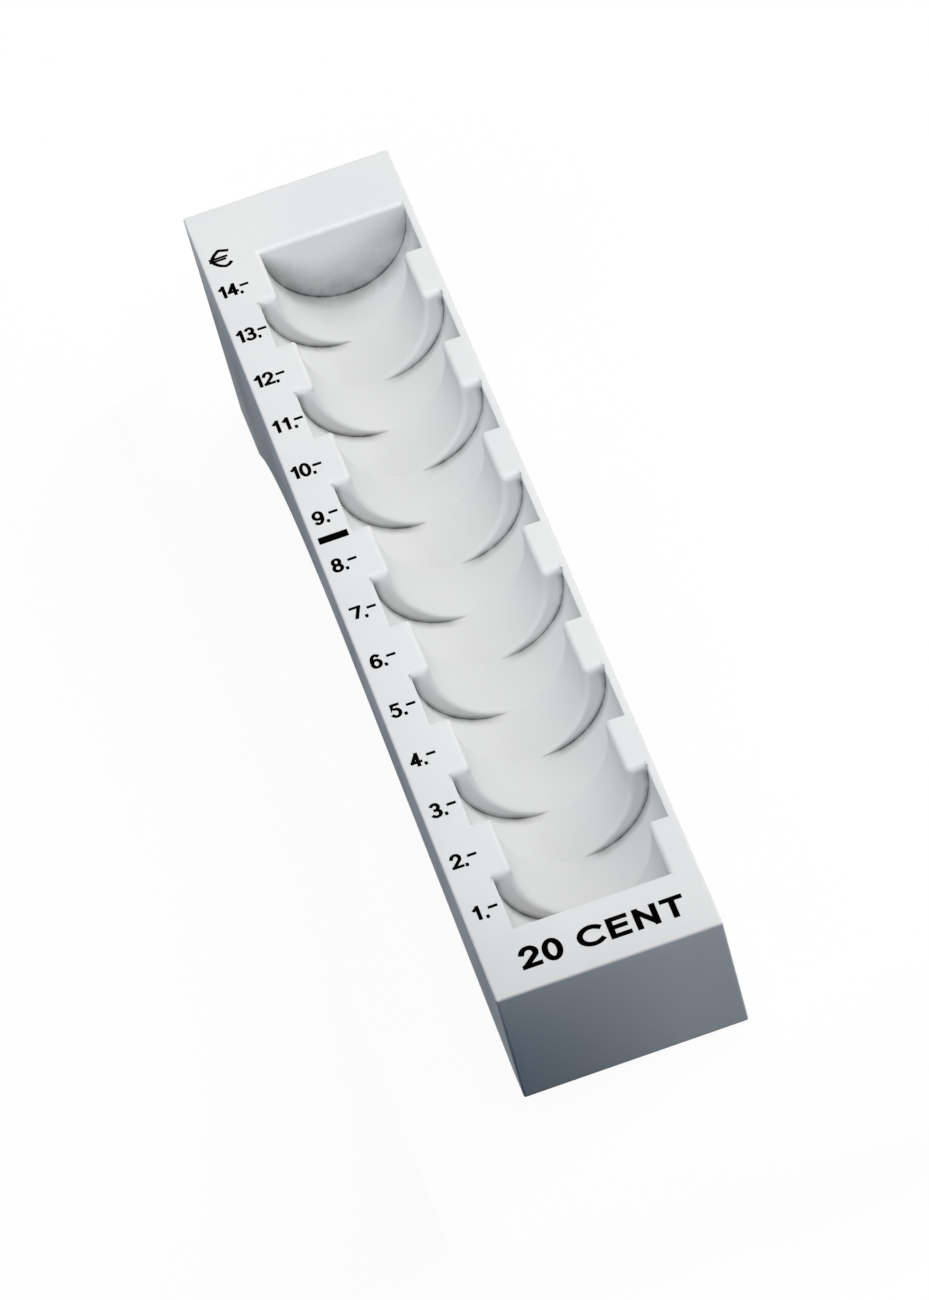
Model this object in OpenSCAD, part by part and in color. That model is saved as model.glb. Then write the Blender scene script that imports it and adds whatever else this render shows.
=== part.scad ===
// Coin counting tray for one kind of coin. A single hollow moulding carries a row of
// half-round cells down its sloping deck. Each cell holds one block of coins on edge,
// and neighbouring cells step sideways, so that every full block shows as a shifted block.
// The tray leans down to the front, on a low front edge and a tall back foot.
// X runs to the right, Y to the back and Z up. The origin is at the bottom, in the middle.

/* [Coin] */
// Diameter of the coin that the cells hold
coin_d = 22.25; // [20:0.05:24]
// Thickness of one coin
coin_t = 2.14; // [2:0.01:2.4]
// Coins in one cell
coins_per_cell = 5; // [4:1:6]
// Number of cells in the row
cell_count = 14; // [12:2:16]

/* [Cells] */
// Play between a coin's rim and the cell, on the radius
coin_play = 0.475; // [0.3:0.025:0.7]
// Sideways step from one cell to the next
cell_step = 3.0; // [2:0.1:3.5]
// Height of the straight flank between the half round and the deck
flank_h = 1.0; // [0.5:0.1:2]
// Radius on the rims of the lands beside the cells
rim_r = 0.7; // [0.3:0.1:0.9]

/* [Deck] */
// Slope of the deck down to the front, in degrees
slope = 6.5; // [5:0.5:8]
// Width of the margin left of the widest cell, which carries the scale
left_margin = 6.0; // [5:0.1:8]
// Width of the rim right of the widest cell
right_rim = 1.1; // [1:0.1:3]
// Length of the land in front of the cells, along the deck
front_land = 12.0; // [11:0.1:16]
// Length of the land behind the cells, along the deck
back_land = 12.95; // [12:0.05:18]

/* [Walls] */
// Height of the front face
front_h = 18.7; // [18:0.1:24]
// Thickness of the side, front, back and end walls
wall = 2.6; // [2.5:0.1:3]
// Thickness of the deck
deck_t = 1.8; // [1.2:0.1:2]
// Thickness of the shell under the cells
shell_t = 1.6; // [1.2:0.1:2]

/* [Arch] */
// Angle at which the lower edge rises behind the front, in degrees
arch_rise = 10; // [8:0.5:11]
// Radius of the arch in front of the back foot
arch_r = 102; // [80:1:120]
// Length of the lower edge that lies level behind the front face
toe = 6; // [5:0.5:10]

/* [Feet] */
// Diameter of a non-slip foot
foot_d = 6.4; // [5:0.1:6.6]
// Thickness of a foot's head
foot_t = 1.0; // [0.8:0.1:1.5]
// How far the feet stand out below the walls
foot_proud = 0.5; // [0.3:0.1:0.7]
// Diameter of the stem that a foot is held by
stem_d = 3.0; // [2:0.1:3.2]
// Length of the stem
stem_l = 5.0; // [3:0.5:8]
// Gap all round the stem in its boss
stem_play = 0.05; // [0.02:0.01:0.1]
// Thickness of the boss round the stem
boss_t = 1.3; // [1.1:0.1:1.5]

/* [Hidden] */
$fn = 128;

// Cells
cell_r = coin_d / 2 + coin_play;
pitch = coin_t * coins_per_cell;
cells_len = pitch * cell_count;

// Deck, measured along its slope and level
width = left_margin + 2 * cell_r + cell_step + right_rim;
deck_len = front_land + cells_len + back_land;
length = deck_len * cos(slope);
cells_y = front_land * cos(slope);
pitch_y = pitch * cos(slope);
end_y = cells_y + cell_count * pitch_y;

// Heights above the ground
base_z = foot_proud;
front_z = base_z + front_h;
function deck_z(y) = front_z + y * tan(slope);

// Centre lines of the cells. The frontmost cell is a left one, and the hindmost a right one.
left_x = -width / 2 + left_margin + cell_r;
right_x = left_x + cell_step;

// The lower edge rises from the toe and runs into the arch, which ends at the back foot
arch_s = let (
    dy = toe + arch_r * sin(arch_rise) - end_y,
    dz = -arch_r * cos(arch_rise),
    b = dy * cos(arch_rise) + dz * sin(arch_rise)
) -b - sqrt(b * b - dy * dy - dz * dz + arch_r * arch_r);
arch_y = toe + arch_s * cos(arch_rise);
arch_z = base_z + arch_s * sin(arch_rise);
arch_c = [arch_y + arch_r * sin(arch_rise), arch_z - arch_r * cos(arch_rise)];

// Feet, in the middle of the hollows at the front and the back
boss_d = stem_d + 2 * boss_t;
foot_x = width / 2 - wall - boss_d / 2 - 1;
front_foot_y = (wall + cells_y - shell_t) / 2;
back_foot_y = (end_y + length) / 2;
foot_round = 0.4;

// How far a cut runs past a face and past the whole tray, and how far a rim's arc crosses its sides
over = 1;
far = 60;
hair = 0.004;

// Puts a shape drawn in the deck's own frame in place: Y up the slope, Z square to the deck
module on_deck() {
    translate([0, 0, front_z])
        rotate([slope, 0, 0])
            children();
}

// Extrudes an outline of the side view, drawn as [y, z], from x0 to x1
module across(x0, x1) {
    translate([x0, 0, 0])
        rotate([90, 0, 90])
            linear_extrude(x1 - x0)
                children();
}

// Outline of the side view, with the deck lowered by drop and the ends brought in by inset
module side_outline(drop, inset, low) {
    sunk = drop / cos(slope);
    polygon([
        [inset, low],
        [length - inset, low],
        [length - inset, deck_z(length - inset) - sunk],
        [inset, deck_z(inset) - sunk],
    ]);
}

// Everything under the lower edge of the side walls, from the toe to the back foot
module arch_outline() {
    polygon([[toe, base_z], [arch_y, arch_z], [arch_y, -over], [toe, -over]]);
    intersection() {
        translate(arch_c)
            circle(r = arch_r + hair);
        translate([arch_y - 2 * over, -over])
            square([end_y - arch_y + 3 * over, arch_r]);
    }
}

// Extrudes a section square to the deck, drawn as [x, z] with z = 0 on the deck, along the whole slope
module along_deck() {
    on_deck()
        translate([0, deck_len + over, 0])
            rotate([90, 0, 0])
                linear_extrude(deck_len + 2 * over)
                    children();
}

// Cuts a corner of an outline round. The corner is at p, and its sides run off at angles a and b.
// The arc crosses both sides by a hair, so that it meets them in clean edges.
module round_off(p, a, b, r) {
    half = abs(a - b) / 2;
    run = r / tan(half);
    mid = (a + b) / 2;
    c = p + (r / sin(half) - hair) * [cos(mid), sin(mid)];
    ta = p + run * [cos(a), sin(a)];
    tb = p + run * [cos(b), sin(b)];
    out = p - over * [cos(mid), sin(mid)];
    difference() {
        polygon([c, ta, ta + (out - p), out, tb + (out - p), tb]);
        translate(c)
            circle(r = r);
    }
}

// U-shaped section of a trough
module trough_section(x, r) {
    translate([x, -flank_h]) {
        circle(r = r);
        translate([-r, 0])
            square([2 * r, flank_h + over]);
    }
}

// Section of the lands on one side. They narrow the trough at wide_x to the cells at own_x.
module land_section(own_x, wide_x) {
    side = sign(wide_x - own_x);
    difference() {
        trough_section(wide_x, cell_r + over);
        trough_section(own_x, cell_r);
        round_off([own_x + side * cell_r, 0], 90 - side * 90, -90, rim_r);
    }
}

// Side view of cell number k, counted from the front, longer by grow at both ends
module cell_outline(k, grow) {
    translate([cells_y + k * pitch_y - grow, 0])
        square([pitch_y + 2 * grow, far]);
}

// Side view of the land beside cell number k. Its free ends have round rims.
module land_outline(k) {
    y0 = cells_y + k * pitch_y - (k == 0 ? over : 0);
    y1 = cells_y + (k + 1) * pitch_y + (k == cell_count - 1 ? over : 0);
    difference() {
        translate([y0, 0])
            square([y1 - y0, far]);
        if (k > 0)
            round_off([y0, deck_z(y0)], slope, -90, rim_r);
        if (k < cell_count - 1)
            round_off([y1, deck_z(y1)], -90, slope - 180, rim_r);
    }
}

// Side view of the whole row. Its end wall has a round rim.
module row_outline() {
    translate([cells_y, 0])
        square([end_y - cells_y, far]);
    round_off([end_y, deck_z(end_y)], slope, -90, rim_r);
}

// Lands beside every second cell, starting with number first
module land_row(first, own_x, wide_x) {
    intersection() {
        along_deck() land_section(own_x, wide_x);
        union()
            for (k = [first : 2 : cell_count - 1])
                across(-width, width) land_outline(k);
    }
}

// Room for the coins: both troughs, from the first cell to the end wall, less the lands
module cells() {
    difference() {
        for (x = [left_x, right_x])
            intersection() {
                along_deck() trough_section(x, cell_r);
                across(-width, width) row_outline();
            }
        land_row(0, left_x, right_x);
        land_row(1, right_x, left_x);
    }
}

// Shell that follows every second cell, starting with number first
module shell_row(first, x) {
    intersection() {
        along_deck() trough_section(x, cell_r + shell_t);
        union()
            for (k = [first : 2 : cell_count - 1])
                across(-width, width) cell_outline(k, shell_t);
    }
}

// Hollow underside, with the shell of the cells left standing in it
module hollow() {
    difference() {
        across(-width / 2 + wall, width / 2 - wall)
            side_outline(deck_t, wall, -over);
        shell_row(0, left_x);
        shell_row(1, right_x);
        translate([-width / 2, end_y, 0])
            cube([width, wall, far]);
        for (sx = [-1, 1], y = [front_foot_y, back_foot_y])
            translate([sx * foot_x, y, foot_t])
                cylinder(d = boss_d, h = far);
    }
}

module boss_bores() {
    for (sx = [-1, 1], y = [front_foot_y, back_foot_y])
        translate([sx * foot_x, y, 0])
            cylinder(r = stem_d / 2 + stem_play, h = foot_t + stem_l + over);
}

module tray_moulding() {
    color("gainsboro")
        translate([0, -length / 2, 0])
            difference() {
                across(-width / 2, width / 2)
                    difference() {
                        side_outline(0, 0, base_z);
                        arch_outline();
                    }
                cells();
                hollow();
                boss_bores();
            }
}

// Rubber button with a rounded rim, held by its stem
module foot(sx, y) {
    color("dimgray")
        translate([sx * foot_x, y - length / 2, 0])
            rotate_extrude()
                difference() {
                    union() {
                        square([foot_d / 2, foot_t]);
                        square([stem_d / 2, foot_t + stem_l]);
                    }
                    round_off([foot_d / 2, 0], 90, 180, foot_round);
                }
}

module front_left_foot() { foot(-1, front_foot_y); }
module front_right_foot() { foot(1, front_foot_y); }
module back_left_foot() { foot(-1, back_foot_y); }
module back_right_foot() { foot(1, back_foot_y); }

tray_moulding();
front_left_foot();
front_right_foot();
back_left_foot();
back_right_foot();
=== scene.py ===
import math

import bmesh
import bpy
import numpy as np
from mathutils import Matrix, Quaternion, Vector
from mathutils.geometry import delaunay_2d_cdt


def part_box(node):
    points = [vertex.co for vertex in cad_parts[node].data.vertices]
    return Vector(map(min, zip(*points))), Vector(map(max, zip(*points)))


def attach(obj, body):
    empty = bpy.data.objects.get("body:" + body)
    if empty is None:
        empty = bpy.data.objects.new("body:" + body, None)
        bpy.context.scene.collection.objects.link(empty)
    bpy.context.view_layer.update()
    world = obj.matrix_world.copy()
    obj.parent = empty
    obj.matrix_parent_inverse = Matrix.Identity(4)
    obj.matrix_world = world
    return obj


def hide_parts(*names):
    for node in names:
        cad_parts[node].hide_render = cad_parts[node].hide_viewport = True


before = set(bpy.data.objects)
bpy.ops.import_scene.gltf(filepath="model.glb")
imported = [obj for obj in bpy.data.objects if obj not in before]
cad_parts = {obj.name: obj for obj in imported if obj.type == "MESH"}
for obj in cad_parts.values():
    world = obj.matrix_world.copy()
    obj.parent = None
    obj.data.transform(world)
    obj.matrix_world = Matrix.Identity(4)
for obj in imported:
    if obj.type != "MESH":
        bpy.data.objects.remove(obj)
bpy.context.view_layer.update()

# ---------------------------------------------------------------- camera
# The photograph looks down on the low front end from a little to its left, with a long lens
# from about a metre away. The camera is rolled, so that the tray runs up to the left.
MM = 0.001  # sizes are in millimetres, and Blender's units are metres
FRAME_W, FRAME_H = 929, 1300  # pixels of the photograph
FOCAL_PX = 7774
CAMERA_AT = Vector((-71.865, -892.383, 728.625))
CAMERA_AIM = Vector((-1.327, -12.576, 20.236))
CAMERA_ROLL = -16.139  # degrees

photo_camera = bpy.data.cameras.new("photo_camera")
photo_camera.sensor_fit = "VERTICAL"
photo_camera.sensor_height = 24
photo_camera.lens = photo_camera.sensor_height * FOCAL_PX / FRAME_H
photo_camera.clip_start = 0.01
photo_camera.clip_end = 20
camera = bpy.data.objects.new("photo_camera", photo_camera)
camera.location = CAMERA_AT * MM
camera.rotation_mode = "QUATERNION"
camera.rotation_quaternion = (CAMERA_AIM - CAMERA_AT).to_track_quat("-Z", "Y") @ Quaternion(
    (0, 0, 1), math.radians(CAMERA_ROLL)
)
bpy.context.scene.collection.objects.link(camera)
bpy.context.scene.camera = camera
bpy.context.scene.view_settings.view_transform = "Standard"

# ---------------------------------------------------------------- floor and light
# A white sheet under the tray, which runs out of view. It is white to the camera and in reflections and
# keeps a faint shadow, but it throws back little light, because the tray stood in dark bluish surroundings.


def linear(hex_colour):
    """The linear colour of an sRGB hex value."""
    parts = [int(hex_colour[i : i + 2], 16) / 255 for i in (1, 3, 5)]
    return [p / 12.92 if p <= 0.04045 else ((p + 0.055) / 1.055) ** 2.4 for p in parts] + [1]


def node(tree, kind, inputs=None, links=None, **settings):
    """Adds a node with its settings, its input values and its links, given as {input: output socket}."""
    made = tree.nodes.new(kind)
    for name, value in settings.items():
        setattr(made, name, value)
    for name, value in (inputs or {}).items():
        made.inputs[name].default_value = value
    for name, source in (links or {}).items():
        tree.links.new(source, made.inputs[name])
    return made


SHEET_HALF = 1500  # half the side of the sheet
SHEET_Z = -0.05  # just clear of the feet's faces
SHEET_BOUNCE = "#304A5E"  # what the sheet throws back on the tray
SHEET_GLOW = 0.95  # share of the sheet's white that no shadow dims

sheet_mesh = bpy.data.meshes.new("floor_sheet")
sheet_mesh.from_pydata(
    [(x * SHEET_HALF * MM, y * SHEET_HALF * MM, SHEET_Z * MM) for x, y in ((-1, -1), (1, -1), (1, 1), (-1, 1))],
    [],
    [(0, 1, 2, 3)],
)
sheet = bpy.data.objects.new("floor_sheet", sheet_mesh)
bpy.context.scene.collection.objects.link(sheet)
sheet_paper = bpy.data.materials.new("white_background_sheet")
sheet_paper.use_nodes = True
t = sheet_paper.node_tree
t.nodes.clear()
path = node(t, "ShaderNodeLightPath")
seen = node(t, "ShaderNodeMath", links={0: path.outputs["Is Camera Ray"]}, operation="ADD")
t.links.new(path.outputs["Is Glossy Ray"], seen.inputs[1])
seen_through = node(t, "ShaderNodeMath", links={0: seen.outputs[0]}, operation="ADD", use_clamp=True)
t.links.new(path.outputs["Is Transmission Ray"], seen_through.inputs[1])
white = node(t, "ShaderNodeBsdfDiffuse", {"Color": (1, 1, 1, 1)})
glow = node(t, "ShaderNodeEmission", {"Color": (1, 1, 1, 1), "Strength": 1.0})
lit_sheet = node(t, "ShaderNodeMixShader", {0: SHEET_GLOW}, {1: white.outputs[0], 2: glow.outputs[0]})
dim_sheet = node(t, "ShaderNodeBsdfDiffuse", {"Color": linear(SHEET_BOUNCE)})
either = node(
    t, "ShaderNodeMixShader", links={0: seen_through.outputs[0], 1: dim_sheet.outputs[0], 2: lit_sheet.outputs[0]}
)
node(t, "ShaderNodeOutputMaterial", links={"Surface": either.outputs[0]})
sheet.data.materials.append(sheet_paper)

# The surroundings are white to the camera and in reflections too. On the tray they shed only a little
# blue grey light.
SURROUNDINGS, SURROUNDINGS_LEVEL = "#9FB2C6", 0.03

world = bpy.data.worlds.new("studio_surroundings")
bpy.context.scene.world = world
world.use_nodes = True
t = world.node_tree
t.nodes.clear()
path = node(t, "ShaderNodeLightPath")
seen = node(t, "ShaderNodeMath", links={0: path.outputs["Is Camera Ray"]}, operation="ADD")
t.links.new(path.outputs["Is Glossy Ray"], seen.inputs[1])
seen_through = node(t, "ShaderNodeMath", links={0: seen.outputs[0]}, operation="ADD", use_clamp=True)
t.links.new(path.outputs["Is Transmission Ray"], seen_through.inputs[1])
dim_world = node(t, "ShaderNodeBackground", {"Color": linear(SURROUNDINGS), "Strength": SURROUNDINGS_LEVEL})
white_world = node(t, "ShaderNodeBackground", {"Color": (1, 1, 1, 1), "Strength": 1.0})
either = node(
    t, "ShaderNodeMixShader", links={0: seen_through.outputs[0], 1: dim_world.outputs[0], 2: white_world.outputs[0]}
)
node(t, "ShaderNodeOutputWorld", links={"Surface": either.outputs[0]})

# Six square soft boxes, a metre away: one overhead, two high up on the right and behind, and three in
# front, a little cooler, that light the end wall and the lands' ends.
SOFT_BOX_SIDE = 500
PLAIN, COOL = "#FFFFFF", "#FAFCFF"
SOFT_BOXES = (
    ("overhead_soft_box", (0, 0, 1000), 3.95, PLAIN),
    ("back_right_soft_box", (390, 470, 790), 2.8, PLAIN),
    ("right_soft_box", (620, 150, 770), 1.8, PLAIN),
    ("front_left_soft_box", (-620, -520, 580), 3.0, COOL),
    ("low_front_left_soft_box", (-350, -850, 390), 2.7, COOL),
    ("low_front_right_soft_box", (750, -500, 380), 3.5, COOL),
)
for name, at, watts, tint in SOFT_BOXES:
    lamp = bpy.data.lights.new(name, "AREA")
    lamp.shape = "SQUARE"
    lamp.size = SOFT_BOX_SIDE * MM
    lamp.energy = watts
    lamp.color = linear(tint)[:3]
    soft_box = bpy.data.objects.new(name, lamp)
    soft_box.location = Vector(at) * MM
    soft_box.rotation_euler = Vector(at).to_track_quat("Z", "Y").to_euler()
    bpy.context.scene.collection.objects.link(soft_box)

# Two dark cards, as in a studio, set the pale tray off from the white sheet: one in front of it, and one
# beside its left wall that is lower at the front. The camera doesn't see them.
CARD_COLOUR = "#32658A"
FRONT_CARD_Y, FRONT_CARD_LEFT, FRONT_CARD_RIGHT, FRONT_CARD_TOP = -125, -110, 45, 55
SIDE_CARD_X, SIDE_CARD_FRONT, SIDE_CARD_BACK, SIDE_CARD_LOW, SIDE_CARD_HIGH = -34, -110, 100, 36, 50
card_mesh = bpy.data.meshes.new("dark_cards")
corners = [
    (FRONT_CARD_LEFT, FRONT_CARD_Y, 0),
    (FRONT_CARD_RIGHT, FRONT_CARD_Y, 0),
    (FRONT_CARD_RIGHT, FRONT_CARD_Y, FRONT_CARD_TOP),
    (FRONT_CARD_LEFT, FRONT_CARD_Y, FRONT_CARD_TOP),
    (SIDE_CARD_X, SIDE_CARD_FRONT, 0),
    (SIDE_CARD_X, SIDE_CARD_BACK, 0),
    (SIDE_CARD_X, SIDE_CARD_BACK, SIDE_CARD_HIGH),
    (SIDE_CARD_X, SIDE_CARD_FRONT, SIDE_CARD_LOW),
]
card_mesh.from_pydata([(x * MM, y * MM, z * MM) for x, y, z in corners], [], [(0, 1, 2, 3), (4, 5, 6, 7)])
cards = bpy.data.objects.new("dark_cards", card_mesh)
bpy.context.scene.collection.objects.link(cards)
cards.visible_camera = False
card_paper = bpy.data.materials.new("dark_blue_grey_card")
card_paper.use_nodes = True
t = card_paper.node_tree
t.nodes.clear()
card_face = node(t, "ShaderNodeBsdfDiffuse", {"Color": linear(CARD_COLOUR)})
node(t, "ShaderNodeOutputMaterial", links={"Surface": card_face.outputs[0]})
cards.data.materials.append(card_paper)

# ---------------------------------------------------------------- tray moulding
# The whole tray is one moulding in light grey polystyrene: a sloping deck with a row of half-round
# cells, walls all round, and a hollow underside. A cell holds five coins, and every second cell is
# stepped to the right. The lands that this leaves beside the cells have soft moulded rims.
WIDTH, DECK_LEN, SLOPE = 33.3, 174.75, math.radians(6.5)
FRONT_Z = 19.2  # height of the deck's front edge above the floor
LENGTH = DECK_LEN * math.cos(SLOPE)
CELL_R, CELL_STEP, CELL_COUNT = 11.6, 3.0, 14
PITCH = 10.7 * math.cos(SLOPE)  # length of a cell, measured level
CELLS_Y = 12.0 * math.cos(SLOPE)  # from the front face to the first cell
END_Y = CELLS_Y + CELL_COUNT * PITCH  # the end wall
LEFT_X = -WIDTH / 2 + 6.0 + CELL_R  # centre line of the left cells
MIDDLE_X = LEFT_X + CELL_STEP / 2
FLANK = 1.0  # straight part of a cell's side, above the half round
RIM_R = 0.7  # rims along the lands' sides and on the end wall
END_RIM_R, BACK_RIM_R = 1.0, 0.3  # rims at the lands' front ends and at their back ends
TAIL_RIM = 0.3  # share of an end's rim that is left at the thin tail of its crescent
SHARP_R, EDGE_R = 0.15, 0.3  # edges of the cells, and outer edges
BESIDE = 0.2  # a row of points this far beside an edge keeps its shading off the flat face
BESIDE_RIM = (0.8, 0.1)  # rows of points on a land's top, this far beside its side rim
SIDE_RIM_TURNS = [math.radians(18 * i) for i in range(6)]  # angles of the points round that rim
SHARP_STEPS, EDGE_STEPS, RIM_STEPS = 2, 3, 5  # facets round a rounded edge
SIDE_RIM_WEAR, END_RIM_WEAR, LOW_EDGE_WEAR = 0.6, 0.4, 0.6  # against 1 on the most worn edges
UNCOVERED = 60.0  # deeper than any cell
LEAST_SPLIT = 0.5  # least distance from the row's middle at which both halves come to share a floor
ARC_POINTS, SHORT_ARC_POINTS = 25, 16  # from the flank to the cells' common floor, where stepped and where not
SHADE_LINE = 0.4  # width of the line of painted shade in a corner
SHADE_FADE = 0.8  # height of a step below which it gets little painted shade
CLEAR_OF_ENDS = 3.5  # distance from a cell's ends at which its plain middle starts
FLOOR_SHADE = ((1.6, 0.0), (0.8, -0.3))  # painted shade on a floor that ends at a corner: distance from it, wear (below 0 paints shade)
CORNER_SHADE = ((SHADE_LINE, 0.3, -0.45), (1.3, 0.8, 0.0))  # rings of painted shade above it: height, most share of the face, wear (below 0 paints shade)
# painted shade up the end wall, darker towards its foot: height, most share of the face, wear
END_WALL_SHADE = ((SHADE_LINE, 0.3, -0.55), (3.0, 0.5, -0.32), (8.0, 0.8, 0.0))
WALL, DECK_T, SHELL_T = 2.6, 1.8, 1.6
UNDER_POINTS = 31  # points of the underside in every ring
BASE_Z, TOE = 0.5, 6.0  # height of the walls' lower edge, and where it starts to rise
ARCH_RISE, ARCH_R, ARCH_FROM = math.radians(10), 102.0, 88.150
BOSS_R, BORE_R, BORE_TOP, FOOT_T = 2.8, 1.55, 7.0, 1.0
SMOOTH_ANGLE = math.radians(35)  # a sharper edge shows as a crease
END_FACE_CORNERS = 40  # only the front and the back face have more


def deck_z(y):
    return FRONT_Z + y * math.tan(SLOPE)


def lower_edge_z(y):
    """Height of the walls' lower edge: level at both ends, rising behind the front, then an arch."""
    if y <= TOE or y >= END_Y:
        return BASE_Z
    if y < ARCH_FROM:
        return BASE_Z + (y - TOE) * math.tan(ARCH_RISE)
    top = BASE_Z + (ARCH_FROM - TOE) * math.tan(ARCH_RISE) - ARCH_R * math.cos(ARCH_RISE)
    return max(top + math.sqrt(ARCH_R**2 - (y - ARCH_FROM - ARCH_R * math.sin(ARCH_RISE)) ** 2), BASE_Z)


def rounded(radius, steps):
    """Stations of a rounded edge: (way in from the edge, depth of the surface there)."""
    turns = [math.pi / 2 * i / steps for i in range(steps + 1)]
    return [(radius * (1 - math.cos(a)), radius * (1 - math.sin(a))) for a in turns]


def worn(sunk, radius):
    """Wear of a rounded edge where its surface has sunk so far: most in the middle, none at both ends."""
    return math.sin(2 * math.asin(1 - min(sunk / radius, 1)))


def half_section(side, stepped, end, cover, cover_wear, inset):
    """Half a section of the deck, from its outer edge to the middle of the row, as (x, depth, wear).
    Where the cell isn't stepped to this side a land stands. The end is how far the land's round end has
    sunk and its wear, and the painted shade of a stepped cell. Wear is 1 on a worn edge and -1 in the darkest painted
    shade."""
    edge = WIDTH / 2 - side * MIDDLE_X
    wide, narrow = CELL_R + CELL_STEP / 2, CELL_R - CELL_STEP / 2
    sharp = rounded(SHARP_R, SHARP_STEPS)[::-1]
    sunk, wear_and_shade, cell_shade = end
    if stepped:
        wear_and_shade = cell_shade
        points = [(wide + i, o, wear_and_shade or worn(o, SHARP_R)) for i, o in sharp] + [(wide, FLANK, wear_and_shade)]
        centre, grown, arc_points, least = CELL_STEP / 2, 0, ARC_POINTS, 0
        tail = CELL_R + END_RIM_R * TAIL_RIM
    else:
        points = [(wide + i, min(o, sunk), wear_and_shade) for i, o in sharp] + [(wide, sunk, wear_and_shade)]
        round_r = max(RIM_R - sunk, 0)
        middle = sunk + round_r
        points += [(narrow + middle + i, sunk, wear_and_shade) for i in BESIDE_RIM]
        for a in SIDE_RIM_TURNS:
            side_wear = max(SIDE_RIM_WEAR * math.sin(2 * a), wear_and_shade)
            points.append((narrow + middle - round_r * math.sin(a), middle - round_r * math.cos(a), side_wear))
        points.append((narrow + sunk, max(FLANK, sunk), wear_and_shade))
        centre, grown, arc_points, least = -CELL_STEP / 2, sunk, SHORT_ARC_POINTS, sunk
        tail = CELL_R + sunk * TAIL_RIM
    split = max((tail**2 - CELL_R**2) / (2 * CELL_STEP), LEAST_SPLIT)
    down_to = math.asin((split - centre) / (CELL_R if stepped else tail))
    for i in range(1, arc_points + 1):
        a = math.pi / 2 + (down_to - math.pi / 2) * i / arc_points
        radius = CELL_R + grown * (1 - (1 - TAIL_RIM) * i / arc_points)
        points.append((centre + radius * math.sin(a), max(FLANK + radius * math.cos(a), least), wear_and_shade))
    for q, left_over in ((split * 0.75, 0.6), (split * 0.5, 0.2), (split * 0.25, 0), (0, 0)):
        own = FLANK + math.sqrt((CELL_R if stepped else tail) ** 2 - (q - centre) ** 2)
        neighbour = FLANK + math.sqrt(CELL_R**2 - (q - CELL_STEP / 2) ** 2)
        points.append((q, min(own, neighbour), wear_and_shade * left_over))
    # A stepped cell's painted shade fades out where its step is low.
    if stepped and wear_and_shade:
        lands = [FLANK + math.sqrt(max(CELL_R**2 - (q - narrow + CELL_R) ** 2, 0)) for q, _, _ in points]
        points = [
            (q, d, w * min(max((d - land) / SHADE_FADE - 0.5, 0), 1) if land > FLANK else w)
            for (q, d, w), land in zip(points, lands)
        ]
    points = [(q, max(min(d, cover), inset), w if d <= cover else cover_wear) for q, d, w in points]
    turns = [math.pi / 8 * i for i in range(5)]
    reach = EDGE_R - inset
    outer = [(edge - EDGE_R + reach * math.cos(a), EDGE_R - reach * math.sin(a), math.sin(2 * a)) for a in turns]
    outer += [(edge - EDGE_R - BESIDE, inset, 0), (wide + SHARP_R + BESIDE, inset, 0)]
    return [(MIDDLE_X + side * q, d, w) for q, d, w in outer + points]


def deck_ring(y, right_cell, end=(0.0, 0.0, 0.0), cover=UNCOVERED, cover_wear=0.0, inset=0.0):
    """The deck's section at y, from left to right, as rows of x, y, z and wear.
    cover is the most that the surface may sink, and inset is how far the outline is drawn in."""
    left = half_section(-1, not right_cell, end, cover, cover_wear, inset)
    right = half_section(1, right_cell, end, cover, cover_wear, inset)
    return [(x, y, deck_z(y) - d / math.cos(SLOPE), w) for x, d, w in left + right[-2::-1]]


def half_cell(middle, right_cell, way):
    """Rings from the middle of a cell to its back end, or to its front end where way is -1."""
    rings = [deck_ring(middle + way * s, right_cell) for s in (0, PITCH / 2 - CLEAR_OF_ENDS)]
    radius = BACK_RIM_R if way > 0 else END_RIM_R
    # At a cell's back end, shade is painted into its floor, darkest at the end, where the next land rises.
    before = FLOOR_SHADE if way > 0 else FLOOR_SHADE[:1]
    rings += [deck_ring(middle + way * (PITCH / 2 - s), right_cell, (0.0, 0.0, wear_and_shade)) for s, wear_and_shade in before]
    for i, o in rounded(radius, EDGE_STEPS if way > 0 else RIM_STEPS)[::-1]:
        end = (o, END_RIM_WEAR * worn(o, radius), -1 + 0.5 * i / radius if way > 0 else 0.0)
        rings.append(deck_ring(middle + way * (PITCH / 2 - i), right_cell, end))
    return rings[::way]


def corner(contact, upper, shade_rings=CORNER_SHADE):
    """Rings above the line on which an end face stands, where its painted shade thins out and ends."""
    contact, upper = np.array(contact), np.array(upper)
    height = np.maximum(np.linalg.norm((upper - contact)[:, :3], axis=1), SHADE_LINE)[:, None]
    rings = []
    for reach, most, wear_and_shade in shade_rings:
        ring = contact + np.minimum(reach / height, most) * (upper - contact)
        ring[:, 3] = wear_and_shade * np.clip(height[:, 0] / SHADE_FADE - 0.5, 0, 1)
        rings.append(ring.tolist())
    return rings


def stepped_pair(before, after, left_first):
    """Two half cells that meet, with the rings between them that have a corner on either side.
    Only the corner that faces the front gets painted shade."""
    near = corner(before[-1], after[0])
    away = corner(after[0], before[-1], [(s, m, 0.0) for s, m, _ in CORNER_SHADE])
    half = len(near[0]) // 2
    between = [n[:half] + a[half:] if left_first else a[:half] + n[half:] for n, a in zip(near, away[::-1])]
    return before + between + after


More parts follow.
